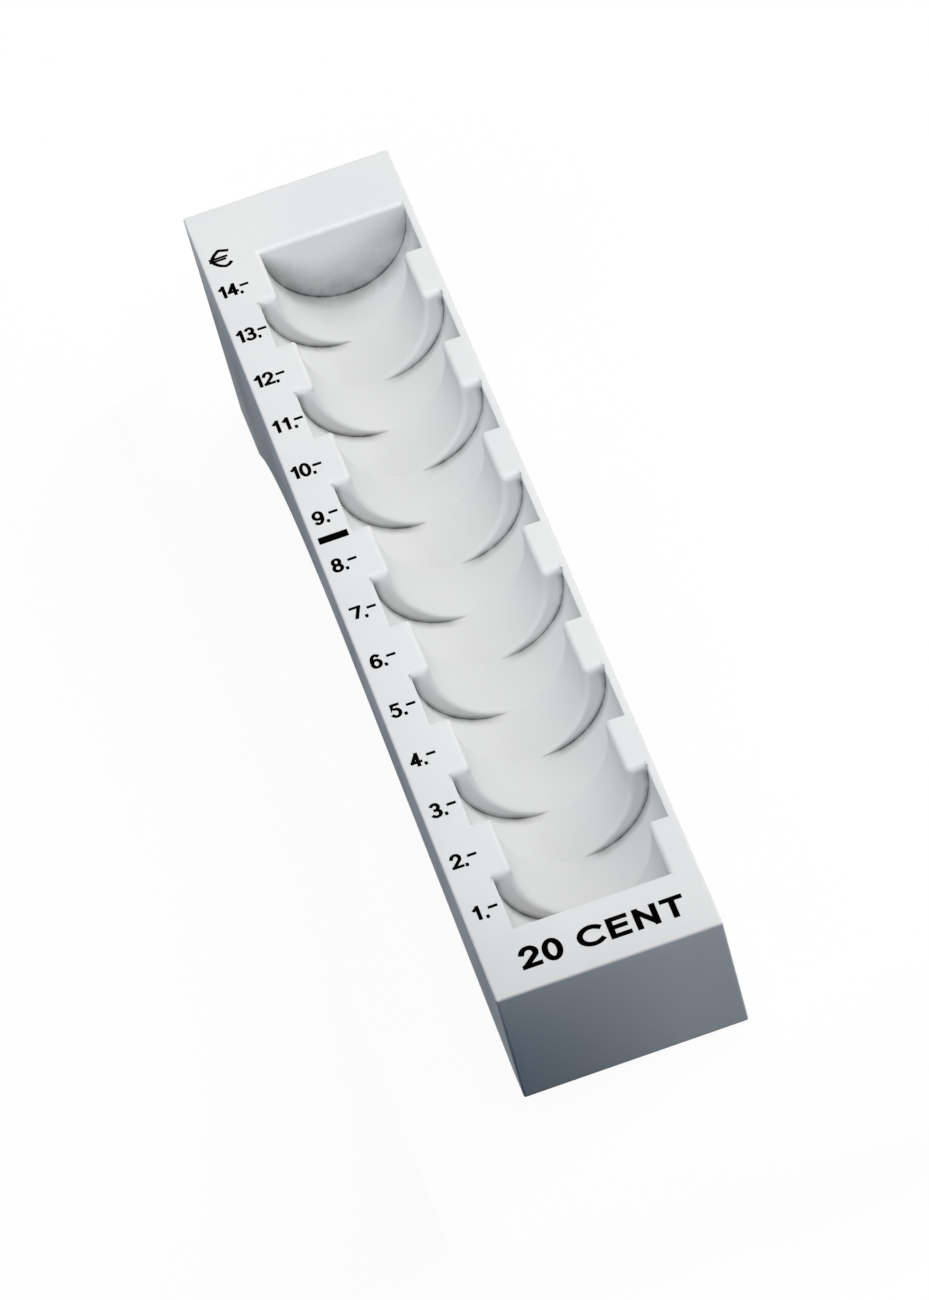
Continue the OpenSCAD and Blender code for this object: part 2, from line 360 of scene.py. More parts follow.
def end_face(y, right_cell, rim_r, steps, way, shade_rings):
    """Rings from the cells' floor up the row's end face at y and over its rim, backwards where way is 1.
    Painted shade is darkest on the line where the face stands, and thins out on the floor and up the face."""
    foot, top = (np.array(deck_ring(y, right_cell, cover=c)) for c in (UNCOVERED, rim_r))
    high = np.linalg.norm((foot - top)[:, :3], axis=1) > SHADE_LINE
    # Shade is painted on the floor before the face, darkest at its foot.
    floor = [np.array(deck_ring(y - way * s, right_cell)) for s in (CLEAR_OF_ENDS, FLOOR_SHADE[0][0], SHADE_LINE)] + [foot]
    for ring, wear_and_shade in zip(floor, (0.0, shade_rings[-2][2] if len(shade_rings) > 2 else 0.0, -0.45, -1.0)):
        ring[high, 3] = wear_and_shade
    rim = [deck_ring(y + way * i, right_cell, cover=o, cover_wear=worn(o, rim_r)) for i, o in rounded(rim_r, steps)]
    return [ring.tolist() for ring in floor] + corner(foot, top, shade_rings) + rim


def skin(rings):
    """Vertices, wear and faces of the surface through rings of equal length, facing left of their way."""
    rings = np.array(rings)
    count, size = rings.shape[:2]
    faces = [
        (i * size + j, i * size + j + 1, (i + 1) * size + j + 1, (i + 1) * size + j)
        for i in range(count - 1)
        for j in range(size - 1)
    ]
    flat = rings.reshape(-1, 4)
    return (flat[:, :3] - (0, LENGTH / 2, 0)) * MM, flat[:, 3], faces


def mesh_from(name, vertices, wear_and_shade, faces):
    mesh = bpy.data.meshes.new(name)
    mesh.from_pydata([tuple(v) for v in vertices], [], faces)
    # The attribute is above 0 on worn edges and below 0 where shade is painted into corners, on the floors before them
    # and up the end wall.
    mesh.attributes.new("wear_and_shade", "FLOAT", "POINT").data.foreach_set("value", np.asarray(wear_and_shade, np.float32))
    return mesh


# Two cells, from the middle of a left one to the middle of the next left one. Seven such pairs make
# the row, but the first and the last half cells have ends of their own, so six pairs are repeated.
first_middle = CELLS_Y + PITCH / 2
right_half = half_cell(first_middle + PITCH, True, 1)
pair_rings = stepped_pair(half_cell(first_middle, False, 1), half_cell(first_middle + PITCH, True, -1), True)
pair_rings += stepped_pair(right_half[1:], half_cell(first_middle + 2 * PITCH, False, -1), False)
row = bpy.data.objects.new("cell_row", mesh_from("cell_pair", *skin(pair_rings)))
bpy.context.scene.collection.objects.link(row)

t = bpy.data.node_groups.new("row_of_cell_pairs", "GeometryNodeTree")
for name, kind in (
    ("Cell pair", "Geometry"),
    ("Pairs", "Int"),
    ("Pair step", "Vector"),
    ("Weld", "Float"),
    ("Plastic", "Material"),
):
    t.interface.new_socket(name, in_out="INPUT", socket_type="NodeSocket" + kind)
t.interface.new_socket("Row", in_out="OUTPUT", socket_type="NodeSocketGeometry")
given = node(t, "NodeGroupInput").outputs
places = node(t, "GeometryNodeMeshLine", links={"Count": given["Pairs"], "Offset": given["Pair step"]}, mode="OFFSET")
copies = node(
    t, "GeometryNodeInstanceOnPoints", links={"Points": places.outputs[0], "Instance": given["Cell pair"]}
)
made_real = node(t, "GeometryNodeRealizeInstances", links={0: copies.outputs[0]})
welded = node(
    t, "GeometryNodeMergeByDistance", links={"Geometry": made_real.outputs[0], "Distance": given["Weld"]}
)
finished = node(t, "GeometryNodeSetMaterial", links={"Geometry": welded.outputs[0], "Material": given["Plastic"]})
node(t, "NodeGroupOutput", links={0: finished.outputs[0]})

WELD = 0.002  # distance within which points are welded
tray_plastic = bpy.data.materials.new("moulded_polystyrene_light_grey")
repeat = row.modifiers.new("row_of_cell_pairs", "NODES")
repeat.node_group = t
sockets = {item.name: item.identifier for item in t.interface.items_tree if item.in_out == "INPUT"}
repeat[sockets["Pairs"]] = CELL_COUNT // 2 - 1
repeat[sockets["Pair step"]] = (0, 2 * PITCH * MM, 2 * PITCH * math.tan(SLOPE) * MM)
repeat[sockets["Weld"]] = WELD * MM
repeat[sockets["Plastic"]] = tray_plastic
graph = bpy.context.evaluated_depsgraph_get()
row_mesh = bpy.data.meshes.new_from_object(row.evaluated_get(graph))
row.modifiers.clear()
bpy.data.objects.remove(row)

# The deck's front end up to the middle of the first cell, and its back end from the middle of the
# last left cell. The front of the row is a crisp step, and the end wall has a round rim.
front_rings = [deck_ring(i, False, cover=0, inset=o) for i, o in rounded(EDGE_R, EDGE_STEPS)]
for y in (EDGE_R + BESIDE, WALL, TOE, CELLS_Y - SHELL_T, CELLS_Y - SHARP_R - BESIDE):
    front_rings.append(deck_ring(y, False, cover=0))
# Shade is painted on the floor at the foot of the row's front step.
front_rings += end_face(CELLS_Y, False, SHARP_R, SHARP_STEPS, -1, CORNER_SHADE)[::-1] + [deck_ring(first_middle, False)]
last_left = first_middle + (CELL_COUNT - 2) * PITCH
back_rings = stepped_pair(half_cell(last_left, False, 1), half_cell(last_left + PITCH, True, -1), True)
# Shade is painted up the end wall, darker towards its foot, and on the floor before it.
back_rings += end_face(END_Y, True, RIM_R, RIM_STEPS, 1, END_WALL_SHADE)
for y in (END_Y + RIM_R + BESIDE, END_Y + WALL, LENGTH - WALL, LENGTH - EDGE_R - BESIDE):
    back_rings.append(deck_ring(y, True, cover=0))
back_rings += [deck_ring(LENGTH - i, True, cover=0, inset=o) for i, o in rounded(EDGE_R, EDGE_STEPS)[::-1]]


def underside(y):
    """The underside just behind y, from left to right, as (x, depth). A depth of None is the lower edge.
    A shell of even thickness follows each cell and overlaps its neighbours' shells."""
    reach = WIDTH / 2 - WALL
    if y < WALL or END_Y <= y < END_Y + WALL or y >= LENGTH - WALL:
        return [(x, None) for x in np.linspace(-reach, reach, UNDER_POINTS).tolist()]
    if y < CELLS_Y - SHELL_T or y >= END_Y + WALL:
        return [(x, DECK_T) for x in np.linspace(-reach, reach, UNDER_POINTS).tolist()]
    near = [int((y + s - CELLS_Y) // PITCH) for s in (-SHELL_T, SHELL_T)]
    centres = [LEFT_X + (min(max(k, 0), CELL_COUNT - 1) % 2) * CELL_STEP for k in near]
    radius = CELL_R + SHELL_T
    points = [(-reach, DECK_T)]
    for centre, ends in ((min(centres), (-1, 0)), (max(centres), (0, 1))):
        start = -math.acos((DECK_T - FLANK) / radius) if ends[0] else math.asin((MIDDLE_X - centre) / radius)
        stop = math.asin(((reach if ends[1] else MIDDLE_X) - centre) / radius)
        steps = UNDER_POINTS // 2 + ends[0]
        for i in range(ends[1], steps + 1):
            a = start + (stop - start) * i / steps
            points.append((centre + radius * math.sin(a), FLANK + radius * math.cos(a)))
    return points


def wall_ring(y, under, inset=0.0):
    """The walls and the underside at y, from the deck's right edge round to its left, open at the top."""
    low, reach = lower_edge_z(y), EDGE_R - inset
    inner = WIDTH / 2 - WALL
    turns = [math.pi / 6 * i for i in range(4)]
    half = [(WIDTH / 2 - inset, deck_z(y) - beside / math.cos(SLOPE), 0) for beside in (EDGE_R, EDGE_R + BESIDE)]
    half.append((WIDTH / 2 - inset, low + EDGE_R + BESIDE, 0))
    for a in turns:
        x, z = WIDTH / 2 - EDGE_R + reach * math.cos(a), low + EDGE_R - reach * math.sin(a)
        half.append((x, z, LOW_EDGE_WEAR * math.sin(2 * a)))
    half.append((inner, low + inset, 0))
    below = []
    for x, depth in under:
        z = low + inset if depth is None else max(deck_z(y) - depth / math.cos(SLOPE), low)
        below.append((x, z, 0))
    outline = half + below[::-1] + [(-x, z, w) for x, z, w in half[::-1]]
    return [(x, y, z, w) for x, z, w in outline]


# The walls have a ring at every ring of the deck, so that both weld, and two where the underside steps.
stations = {round(float(r[0][1]), 6): 0.0 for r in front_rings + back_rings}
for pair in range(CELL_COUNT // 2 - 1):
    stations.update({round(float(r[0][1]) + 2 * pair * PITCH, 6): 0.0 for r in pair_rings})
stations.update({round(i, 6): o for i, o in rounded(EDGE_R, EDGE_STEPS)})
stations.update({round(LENGTH - i, 6): o for i, o in rounded(EDGE_R, EDGE_STEPS)})
wall_rings = []
ys = sorted(stations)
for before, y, after in zip([ys[0]] + ys, ys, ys[1:] + [ys[-1]]):
    sides = [underside((before + y) / 2), underside((y + after) / 2)]
    for under in sides if sides[0] != sides[1] else sides[:1]:
        wall_rings.append(wall_ring(y, under, stations[y]))


def lathe(x, y, profile, turns=48):
    """Closed solid turned round an upright line, from (radius, height) points of a closed profile."""
    points, quads = [], []
    for i in range(turns):
        a = 2 * math.pi * i / turns
        points += [((x + r * math.cos(a)) * MM, (y + r * math.sin(a)) * MM, z * MM) for r, z in profile]
        for j in range(len(profile)):
            here, there = i * len(profile), (i + 1) % turns * len(profile)
            after = (j + 1) % len(profile)
            if profile[j][0] or profile[after][0]:
                quads.append((here + j, there + j, there + after, here + after))
    return points, [0.0] * len(points), quads


parts = [skin(front_rings), skin(back_rings), skin(wall_rings)]
parts += [
    (
        [v.co[:] for v in row_mesh.vertices],
        [w.value for w in row_mesh.attributes["wear_and_shade"].data],
        [tuple(p.vertices) for p in row_mesh.polygons],
    )
]
# The front face and the back face
for rings, walls in ((front_rings[0], wall_rings[0]), (back_rings[-1], wall_rings[-1])):
    loop, loop_wear, _ = skin([rings + walls[1:-1]])
    parts.append((loop, loop_wear, [tuple(range(len(loop)))]))
foot_nodes = ("front_left_foot", "front_right_foot", "back_left_foot", "back_right_foot")
for foot_node in foot_nodes:
    low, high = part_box(foot_node)
    x, y = (low[0] + high[0]) / 2 / MM, (low[1] + high[1]) / 2 / MM
    top = deck_z(y + LENGTH / 2) - DECK_T / 2
    bore = [(BORE_R, FOOT_T), (BORE_R, BORE_TOP), (0, BORE_TOP)]
    parts.append(lathe(x, y, bore + [(0, top), (BOSS_R, top), (BOSS_R, FOOT_T)]))

vertices, wear_and_shade, faces = [], [], []
for some_vertices, some_wear_and_shade, some_faces in parts:
    faces += [tuple(i + len(vertices) for i in f) for f in some_faces]
    vertices += [tuple(v) for v in some_vertices]
    wear_and_shade += list(some_wear_and_shade)
tray_mesh = mesh_from("tray_moulding_dressed", vertices, wear_and_shade, faces)
b = bmesh.new()
b.from_mesh(tray_mesh)
bmesh.ops.remove_doubles(b, verts=b.verts, dist=WELD * MM)
bmesh.ops.dissolve_degenerate(b, edges=b.edges, dist=WELD * MM / 2)
bmesh.ops.recalc_face_normals(b, faces=b.faces)
end_faces = [f for f in b.faces if len(f.verts) > END_FACE_CORNERS]
bmesh.ops.inset_individual(b, faces=end_faces, thickness=BESIDE * MM)
b.to_mesh(tray_mesh)
b.free()
tray_mesh.shade_smooth()
tray_mesh.set_sharp_from_angle(angle=SMOOTH_ANGLE)
tray = bpy.data.objects.new("tray_moulding_dressed", tray_mesh)
bpy.context.scene.collection.objects.link(tray)
tray.data.materials.append(tray_plastic)
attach(tray, "root")
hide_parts("tray_moulding")

# Injection moulded polystyrene in light grey. The mould is spark eroded, which leaves a satin face with a
# grain of about 0.1 mm and mirrors little. Coins and fingers polish the edges. Shade is painted dark into
# the corners, on the floors before them and up the end wall towards its foot.
TRAY_GREY, TRAY_SHADE, TRAY_WORN, TRAY_PAINTED_SHADE = "#DBDBDA", "#D7D7D7", "#E1E1E0", "#525456"
GRAIN = 0.25  # drawn coarser than it is, or it wouldn't show
SMEAR, CLOUD = 2.5, 18.0  # patches of wear and of the painted shade, and slight unevenness of the colour

tray_plastic.use_nodes = True
t = tray_plastic.node_tree
t.nodes.clear()
place = node(t, "ShaderNodeTexCoord").outputs["Object"]
clouds = node(t, "ShaderNodeTexNoise", {"Scale": 1 / (CLOUD * MM), "Detail": 3.0}, {"Vector": place}).outputs[0]
smears = node(t, "ShaderNodeTexNoise", {"Scale": 1 / (SMEAR * MM), "Detail": 4.0}, {"Vector": place}).outputs[0]
grain = node(t, "ShaderNodeTexNoise", {"Scale": 1 / (GRAIN * MM), "Detail": 2.0}, {"Vector": place}).outputs[0]
wear_and_shade_here = node(t, "ShaderNodeAttribute", attribute_name="wear_and_shade").outputs["Fac"]
uneven = node(t, "ShaderNodeMapRange", {"From Min": 0.3, "From Max": 0.7}, {"Value": clouds}).outputs[0]
patches = node(
    t, "ShaderNodeMapRange", {"From Min": 0.35, "From Max": 0.6, "To Min": 0.6}, {"Value": smears}
).outputs[0]
edges = node(t, "ShaderNodeMath", links={0: wear_and_shade_here, 1: patches}, operation="MULTIPLY", use_clamp=True).outputs[0]
# Where the attribute is below 0, shade is painted darker into the colour, in patches.
painted_shade = node(t, "ShaderNodeMath", {1: -1.0}, {0: wear_and_shade_here}, operation="MULTIPLY", use_clamp=True).outputs[0]
painted_shade = node(t, "ShaderNodeMath", links={0: painted_shade, 1: patches}, operation="MULTIPLY").outputs[0]
MIX_A, MIX_B, MIX_COLOUR = 6, 7, 2  # the colour sockets of a Mix node
colour = node(
    t, "ShaderNodeMix", {MIX_A: linear(TRAY_GREY), MIX_B: linear(TRAY_SHADE)}, {0: uneven}, data_type="RGBA"
).outputs[MIX_COLOUR]
for share, hex_colour in ((edges, TRAY_WORN), (painted_shade, TRAY_PAINTED_SHADE)):
    colour = node(
        t, "ShaderNodeMix", {MIX_B: linear(hex_colour)}, {0: share, MIX_A: colour}, data_type="RGBA"
    ).outputs[MIX_COLOUR]
satin = node(
    t, "ShaderNodeMapRange", {"From Min": 0.3, "From Max": 0.7, "To Min": 0.42, "To Max": 0.5}, {"Value": clouds}
)
satin = node(t, "ShaderNodeMath", {1: -0.14}, {0: edges, 2: satin.outputs[0]}, operation="MULTIPLY_ADD").outputs[0]
rough_face = node(t, "ShaderNodeBump", {"Strength": 0.25, "Distance": 0.01 * MM}, {"Height": grain}).outputs[0]
shader = node(
    t,
    "ShaderNodeBsdfPrincipled",
    {"IOR": 1.55, "Specular IOR Level": 0.1},
    {"Base Color": colour, "Roughness": satin, "Normal": rough_face},
)
node(t, "ShaderNodeOutputMaterial", links={"Surface": shader.outputs[0]})

# ---------------------------------------------------------------- feet
# Four black rubber buttons keep the tray from sliding. Each is a moulded disc with two grip rings in
# its face and a stem, which is pressed into a boss under the front land or under the back land.
FOOT_R, FOOT_EDGE_R, STEM_R, STEM_TOP = 3.2, 0.4, 1.5, 6.0
GRIP_RINGS, GRIP_W, GRIP_DEPTH = (1.0, 2.0), 0.35, 0.18
HEAD_CHAMFER, STEM_CHAMFER = 0.15, 0.3

foot_profile = [(0.0, 0.0)]
for r in GRIP_RINGS:
    for across, depth in ((-GRIP_W / 2, 0.0), (-GRIP_W / 4, GRIP_DEPTH), (GRIP_W / 4, GRIP_DEPTH), (GRIP_W / 2, 0.0)):
        foot_profile.append((r + across, depth))
for a in (math.radians(15 * i) for i in range(7)):
    foot_profile.append((FOOT_R - FOOT_EDGE_R * (1 - math.sin(a)), FOOT_EDGE_R * (1 - math.cos(a))))
foot_profile += [(FOOT_R, FOOT_T - HEAD_CHAMFER), (FOOT_R - HEAD_CHAMFER, FOOT_T), (STEM_R, FOOT_T)]
foot_profile += [(STEM_R, STEM_TOP - STEM_CHAMFER), (STEM_R - STEM_CHAMFER, STEM_TOP), (0.0, STEM_TOP)]

vertices, wear_and_shade, faces = [], [], []
for foot_node in foot_nodes:
    low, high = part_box(foot_node)
    x, y = (low[0] + high[0]) / 2 / MM, (low[1] + high[1]) / 2 / MM
    some_vertices, _, some_faces = lathe(x, y, foot_profile)
    faces += [tuple(i + len(vertices) for i in f) for f in some_faces]
    vertices += some_vertices
    rim_wear = [float(r > FOOT_R - FOOT_EDGE_R and z < FOOT_EDGE_R) for r, z in foot_profile]
    wear_and_shade += rim_wear * (len(some_vertices) // len(foot_profile))
feet_mesh = mesh_from("rubber_feet", vertices, wear_and_shade, faces)
b = bmesh.new()
b.from_mesh(feet_mesh)
bmesh.ops.remove_doubles(b, verts=b.verts, dist=WELD * MM)
bmesh.ops.recalc_face_normals(b, faces=b.faces)
b.to_mesh(feet_mesh)
b.free()
feet_mesh.shade_smooth()
feet_mesh.set_sharp_from_angle(angle=SMOOTH_ANGLE)
feet = bpy.data.objects.new("rubber_feet", feet_mesh)
bpy.context.scene.collection.objects.link(feet)
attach(feet, "root")
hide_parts(*foot_nodes)

# Black nitrile rubber, press moulded. It is dull, and its rim scuffs to grey and picks up dust.
RUBBER_BLACK, RUBBER_SCUFF = "#1F2021", "#4A4A49"
RUBBER_GRAIN = 0.2

foot_rubber = bpy.data.materials.new("moulded_rubber_black")
foot_rubber.use_nodes = True
t = foot_rubber.node_tree
t.nodes.clear()
place = node(t, "ShaderNodeTexCoord").outputs["Object"]
specks = node(t, "ShaderNodeTexNoise", {"Scale": 1 / (RUBBER_GRAIN * MM), "Detail": 3.0}, {"Vector": place}).outputs[0]
wear_and_shade_here = node(t, "ShaderNodeAttribute", attribute_name="wear_and_shade").outputs["Fac"]
scuffs = node(t, "ShaderNodeMath", links={0: wear_and_shade_here, 1: specks}, operation="MULTIPLY").outputs[0]
colour = node(
    t, "ShaderNodeMix", {MIX_A: linear(RUBBER_BLACK), MIX_B: linear(RUBBER_SCUFF)}, {0: scuffs}, data_type="RGBA"
).outputs[MIX_COLOUR]
dull = node(t, "ShaderNodeMapRange", {"To Min": 0.72, "To Max": 0.9}, {"Value": specks}).outputs[0]
rough_face = node(t, "ShaderNodeBump", {"Strength": 0.4, "Distance": 0.02 * MM}, {"Height": specks}).outputs[0]
shader = node(
    t, "ShaderNodeBsdfPrincipled", {"IOR": 1.52}, {"Base Color": colour, "Roughness": dull, "Normal": rough_face}
)
node(t, "ShaderNodeOutputMaterial", links={"Surface": shader.outputs[0]})
feet.data.materials.append(foot_rubber)

# ---------------------------------------------------------------- printing
# The scale and the coin's value are pad printed in black after the moulding, at one stroke of the pad.
# The ink is a film, drawn here as a thin solid. Numbers count the full cells from 1 at the front.
INK_LOW, INK_HIGH = -0.01, 0.02  # underside and top of the film, above the deck
NUMERAL_H, NUMERAL_W, NUMERAL_STROKE = 2.8, 1.78, 0.56
STROKE_CONTRAST = 0.92  # thickness of a level stroke, as a share of an upright one's
NUMERAL_AT = ((1.27,), (0.58, 2.15))  # left sides of the numerals, from the margin's edge, for one and for two
FOOT_LINE = 15.47  # from the deck's front edge to the foot of the first numeral
SCALE_STEP = 10.675  # along the deck. The scale is printed a little shorter than the row.
DOT_SHIFT, DASH_SHIFT = 0.83, 0.43  # how far the dot and the dash shift right behind two numerals
BAR_FROM, BAR_TO, BAR_LOW, BAR_HIGH = 0.92, 5.47, 96.8, 98.23
EURO_FROM, EURO_FOOT, EURO_W, EURO_H, EURO_STROKE = 1.45, 160.9, 3.3, 4.45, 0.6
EURO_BARS = ((4.28, 163.2, 163.66), (3.95, 162.66, 163.12))  # where the bars end, and their lower and upper sides
VALUE_FOOT, VALUE_H, VALUE_STROKE = 3.82, 4.05, 0.9
VALUE_TEXT = (  # each letter's left and right side
    ("2", 5.2, 8.2),
    ("0", 8.55, 11.5),
    ("C", 13.65, 18.1),
    ("E", 18.2, 21.35),
    ("N", 22.1, 25.55),
    ("T", 26.15, 29.5),
)
SAME_POINT = 1e-4  # points of the print nearer than this are one


def arc(cx, cy, rx, ry, start, stop):
    """Points along an arc of an ellipse, from one angle to another in degrees."""
    turns = np.radians(np.linspace(start, stop, 2 + int(abs(stop - start) // 15)))
    return [(cx + rx * math.cos(a), cy + ry * math.sin(a)) for a in turns]


# The centre lines of the strokes, in a box that is 1 wide and 1 high. Round ones pass it a little.
STROKES = {
    "0": [arc(0.5, 0.5, 0.5, 0.545, 90, 450)],
    "1": [[(0.68, 0), (0.68, 1)], [(0.28, 0.79), (0.56, 0.92)]],
    "2": [arc(0.5, 0.73, 0.48, 0.315, 165, -30) + [(0.12, 0.07)], [(0, 0), (1, 0)]],
    "3": [arc(0.47, 0.78, 0.43, 0.265, 140, -90), arc(0.47, 0.235, 0.5, 0.28, 90, -145)],
    "4": [[(0.72, 0), (0.72, 1)], [(0.62, 0.9), (0.06, 0.34)], [(0, 0.28), (1, 0.28)]],
    "5": [[(0.9, 1), (0.18, 1), (0.1, 0.52)] + arc(0.47, 0.29, 0.5, 0.335, 120, -145)],
    "6": [arc(0.5, 0.285, 0.5, 0.33, 90, 450), arc(0.55, 0.45, 0.55, 0.595, 190, 55)],
    "7": [[(0, 1), (1, 1)], [(0.95, 0.92), (0.4, 0.08)]],
    "8": [arc(0.5, 0.78, 0.42, 0.265, 90, 450), arc(0.5, 0.235, 0.5, 0.28, 90, 450)],
    "C": [arc(0.5, 0.5, 0.5, 0.5, 48, 312)],
    "E": [[(1, 1), (0, 1), (0, 0), (1, 0)], [(0, 0.52), (0.9, 0.52)]],
    "N": [[(0, 0), (0, 1)], [(0.13, 0.87), (0.87, 0.13)], [(1, 0), (1, 1)]],
    "T": [[(0, 1), (1, 1)], [(0.5, 0), (0.5, 0.9)]],
    "euro": [
        [(1, 0.87), (0.52, 0.99), (0.23, 0.81), (0.07, 0.66), (0, 0.51), (0.07, 0.34), (0.23, 0.19)]
        + [(0.38, 0.1), (0.63, 0.01), (0.82, 0.04), (0.98, 0.14)]
    ],
}
STROKES["9"] = [[(1 - x, 1 - y) for x, y in stroke] for stroke in STROKES["6"]]
MITRE = 0.62  # least share of a corner's length that a stroke keeps


def ribbon(path, width):
    """Quads that draw a stroke of even width along a path. A closed path ends where it starts, and an
    open one gets square ends."""
    path = np.array(path, float)
    way = np.diff(path, axis=0)
    way /= np.linalg.norm(way, axis=1)[:, None]
    closed = np.allclose(path[0], path[-1])
    if not closed:
        path[0] -= way[0] * width / 2
        path[-1] += way[-1] * width / 2
    before = np.vstack([way[-1:] if closed else way[:1], way])
    after = np.vstack([way, way[:1] if closed else way[-1:]])
    middle = before + after
    middle /= np.linalg.norm(middle, axis=1)[:, None]
    reach = width / 2 / np.maximum((middle * after).sum(axis=1), MITRE)
    side = np.stack([-middle[:, 1], middle[:, 0]], axis=1) * reach[:, None]
    left, right = path + side, path - side
    return [(left[i], right[i], right[i + 1], left[i + 1]) for i in range(len(path) - 1)]


def inked(glyph, width, height, stroke):
    """Quads of a glyph in a box of this width and height."""
    scale = np.array((width - stroke, height / STROKE_CONTRAST - stroke))
    quads = [q for path in STROKES[glyph] for q in ribbon(np.array(path) * scale + stroke / 2, stroke)]
    return [[(x, y * STROKE_CONTRAST) for x, y in q] for q in quads]


def moved(quads, across, along):
    """Quads moved on the deck, from its left edge and from its front edge."""
    return [[(x + across, y + along) for x, y in q] for q in quads]


def oblong(start, stop, low, high):
    return [(start, low), (stop, low), (stop, high), (start, high)]


def film(name, quads):
    """A thin closed solid over flat quads that may overlap, which are merged first."""
    points, sides = [], []
    for q in quads:
        sides += [(len(points) + i, len(points) + (i + 1) % len(q)) for i in range(len(q))]
        points += [Vector(p) for p in q]
    flat, _, triangles, _, _, _ = delaunay_2d_cdt(points, sides, [], 0, SAME_POINT)
    middles = np.array([np.mean([flat[i] for i in f], axis=0) for f in triangles])
    covered = np.zeros(len(middles), bool)
    for q in quads:
        q = np.array(q)
        to = np.roll(q, -1, axis=0) - q
        off = middles[:, None] - q
        turn = to[:, 0] * off[:, :, 1] - to[:, 1] * off[:, :, 0]
        covered |= (turn > 0).all(axis=1) | (turn < 0).all(axis=1)
    triangles = [f for f, inside in zip(triangles, covered) if inside]
    across, along = math.cos(SLOPE), math.sin(SLOPE)
    solid = []
    for lift in (INK_HIGH, INK_LOW):
        for u, s in flat:
            y, z = s * across - lift * along - LENGTH / 2, FRONT_Z + s * along + lift * across
            solid.append(((u - WIDTH / 2) * MM, y * MM, z * MM))
    count = len(flat)
    sides = {(f[i - 1], f[i]) for f in triangles for i in range(3)}
    sides = [(a, b) for a, b in sides if (b, a) not in sides]
    faces = [tuple(f) for f in triangles] + [tuple(i + count for i in f[::-1]) for f in triangles]
    faces += [(b, a, a + count, b + count) for a, b in sorted(sides)]
    mesh = bpy.data.meshes.new(name)
    mesh.from_pydata(solid, [], faces)
    b = bmesh.new()
    b.from_mesh(mesh)
    bmesh.ops.delete(b, geom=[v for v in b.verts if not v.link_faces], context="VERTS")
    b.to_mesh(mesh)
    b.free()
    return mesh


print_ink = bpy.data.materials.new("pad_printing_ink_black")
quads = []
for number in range(1, CELL_COUNT + 1):
    foot_line = FOOT_LINE + (number - 1) * SCALE_STEP
    for digit, across in zip(str(number), NUMERAL_AT[number > 9]):
        quads += moved(inked(digit, NUMERAL_W, NUMERAL_H, NUMERAL_STROKE), across, foot_line)
numerals = bpy.data.objects.new("printed_numerals", film("printed_numerals", quads))
bpy.context.scene.collection.objects.link(numerals)
numerals.data.materials.append(print_ink)
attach(numerals, "root")

# The bar halfway up the scale, the currency sign at its back end, and the coin's value on the front land
quads = [oblong(BAR_FROM, BAR_TO, BAR_LOW, BAR_HIGH)]
quads += moved(inked("euro", EURO_W, EURO_H, EURO_STROKE), EURO_FROM, EURO_FOOT)
quads += [oblong(EURO_FROM - 0.18, stop, low, high) for stop, low, high in EURO_BARS]
for letter, start, stop in VALUE_TEXT:
    quads += moved(inked(letter, stop - start, VALUE_H, VALUE_STROKE), start, VALUE_FOOT)
words = bpy.data.objects.new("printed_coin_value", film("printed_coin_value", quads))
bpy.context.scene.collection.objects.link(words)
words.data.materials.append(print_ink)
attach(words, "root")

# A dot and a dash follow every number, and shift to the right behind two numerals.
LAST_SINGLE = 8  # index of the last number with one numeral, counted from 0
DOT = [(3.3, -0.15), (3.58, -0.15), (3.7, 0.0), (3.7, 0.42), (3.58, 0.54), (3.2, 0.54), (3.2, 0.0)]
DASH = oblong(3.85, 5.25, 1.52, 2.03)

t = bpy.data.node_groups.new("marks_up_the_scale", "GeometryNodeTree")
for name, kind in (
    ("Mark", "Geometry"),
    ("Cells", "Int"),
    ("Cell step", "Vector"),
    ("Shift", "Vector"),
    ("Last unshifted", "Int"),
    ("Ink", "Material"),
):
    t.interface.new_socket(name, in_out="INPUT", socket_type="NodeSocket" + kind)
t.interface.new_socket("Marks", in_out="OUTPUT", socket_type="NodeSocketGeometry")
given = node(t, "NodeGroupInput").outputs
places = node(t, "GeometryNodeMeshLine", links={"Count": given["Cells"], "Offset": given["Cell step"]}, mode="OFFSET")
index = node(t, "GeometryNodeInputIndex").outputs[0]
wide_number = node(
    t, "FunctionNodeCompare", links={2: index, 3: given["Last unshifted"]}, data_type="INT", operation="GREATER_THAN"
)
shifted = node(
    t,
    "GeometryNodeSetPosition",
    links={"Geometry": places.outputs[0], "Selection": wide_number.outputs[0], "Offset": given["Shift"]},
)
copies = node(t, "GeometryNodeInstanceOnPoints", links={"Points": shifted.outputs[0], "Instance": given["Mark"]})
made_real = node(t, "GeometryNodeRealizeInstances", links={0: copies.outputs[0]})
finished = node(t, "GeometryNodeSetMaterial", links={"Geometry": made_real.outputs[0], "Material": given["Ink"]})
node(t, "NodeGroupOutput", links={0: finished.outputs[0]})
sockets = {item.name: item.identifier for item in t.interface.items_tree if item.in_out == "INPUT"}

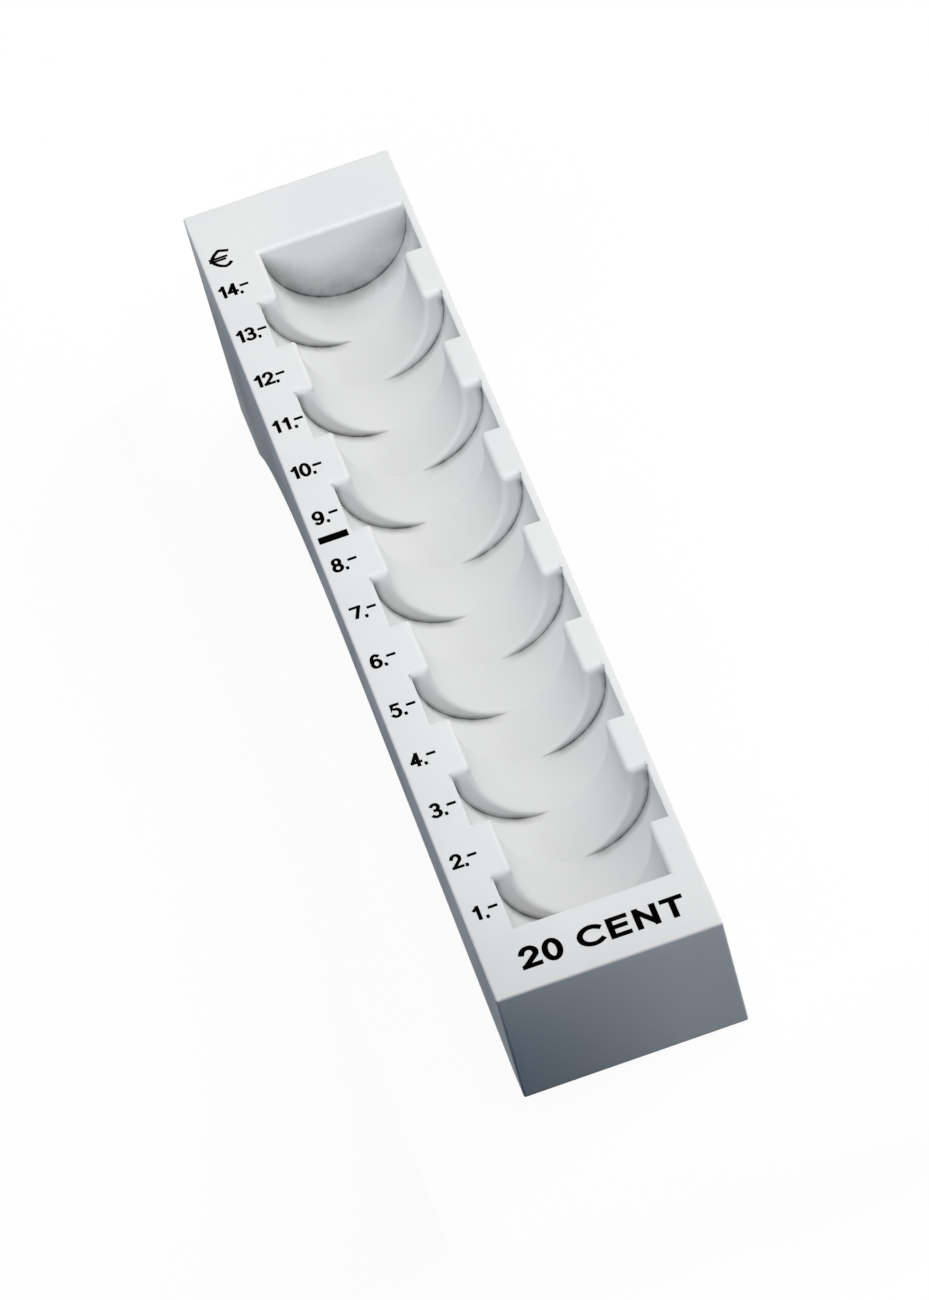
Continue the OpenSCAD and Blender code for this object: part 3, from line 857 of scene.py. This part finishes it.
for name, mark, shift in (("printed_dots", DOT, DOT_SHIFT), ("printed_dashes", DASH, DASH_SHIFT)):
    marks = bpy.data.objects.new(name, film(name, moved([mark], 0, FOOT_LINE)))
    bpy.context.scene.collection.objects.link(marks)
    repeat = marks.modifiers.new("marks_up_the_scale", "NODES")
    repeat.node_group = t
    repeat[sockets["Cells"]] = CELL_COUNT
    repeat[sockets["Cell step"]] = (0, SCALE_STEP * math.cos(SLOPE) * MM, SCALE_STEP * math.sin(SLOPE) * MM)
    repeat[sockets["Shift"]] = (shift * MM, 0, 0)
    repeat[sockets["Last unshifted"]] = LAST_SINGLE
    repeat[sockets["Ink"]] = print_ink
    graph = bpy.context.evaluated_depsgraph_get()
    marks_mesh = bpy.data.meshes.new_from_object(marks.evaluated_get(graph))
    marks.modifiers.clear()
    marks.data = marks_mesh
    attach(marks, "root")

# Two-part pad printing ink, thinned black. It dries satin and lets the tray's grain through, and
# fingers rub it a little thinner and greyer in places.
INK_BLACK, INK_RUBBED = "#020202", "#0A0A0B"
INK_GRAIN, INK_PATCH = 0.25, 1.5

print_ink.use_nodes = True
t = print_ink.node_tree
t.nodes.clear()
place = node(t, "ShaderNodeTexCoord").outputs["Object"]
grain = node(t, "ShaderNodeTexNoise", {"Scale": 1 / (INK_GRAIN * MM), "Detail": 2.0}, {"Vector": place}).outputs[0]
rubbed = node(t, "ShaderNodeTexNoise", {"Scale": 1 / (INK_PATCH * MM), "Detail": 4.0}, {"Vector": place}).outputs[0]
rubbed = node(t, "ShaderNodeMapRange", {"From Min": 0.45, "From Max": 0.75}, {"Value": rubbed}).outputs[0]
colour = node(
    t, "ShaderNodeMix", {MIX_A: linear(INK_BLACK), MIX_B: linear(INK_RUBBED)}, {0: rubbed}, data_type="RGBA"
).outputs[MIX_COLOUR]
satin = node(t, "ShaderNodeMapRange", {"To Min": 0.45, "To Max": 0.6}, {"Value": rubbed}).outputs[0]
rough_face = node(t, "ShaderNodeBump", {"Strength": 0.25, "Distance": 0.01 * MM}, {"Height": grain}).outputs[0]
shader = node(
    t,
    "ShaderNodeBsdfPrincipled",
    {"IOR": 1.5, "Specular IOR Level": 0.0},
    {"Base Color": colour, "Roughness": satin, "Normal": rough_face},
)
node(t, "ShaderNodeOutputMaterial", links={"Surface": shader.outputs[0]})
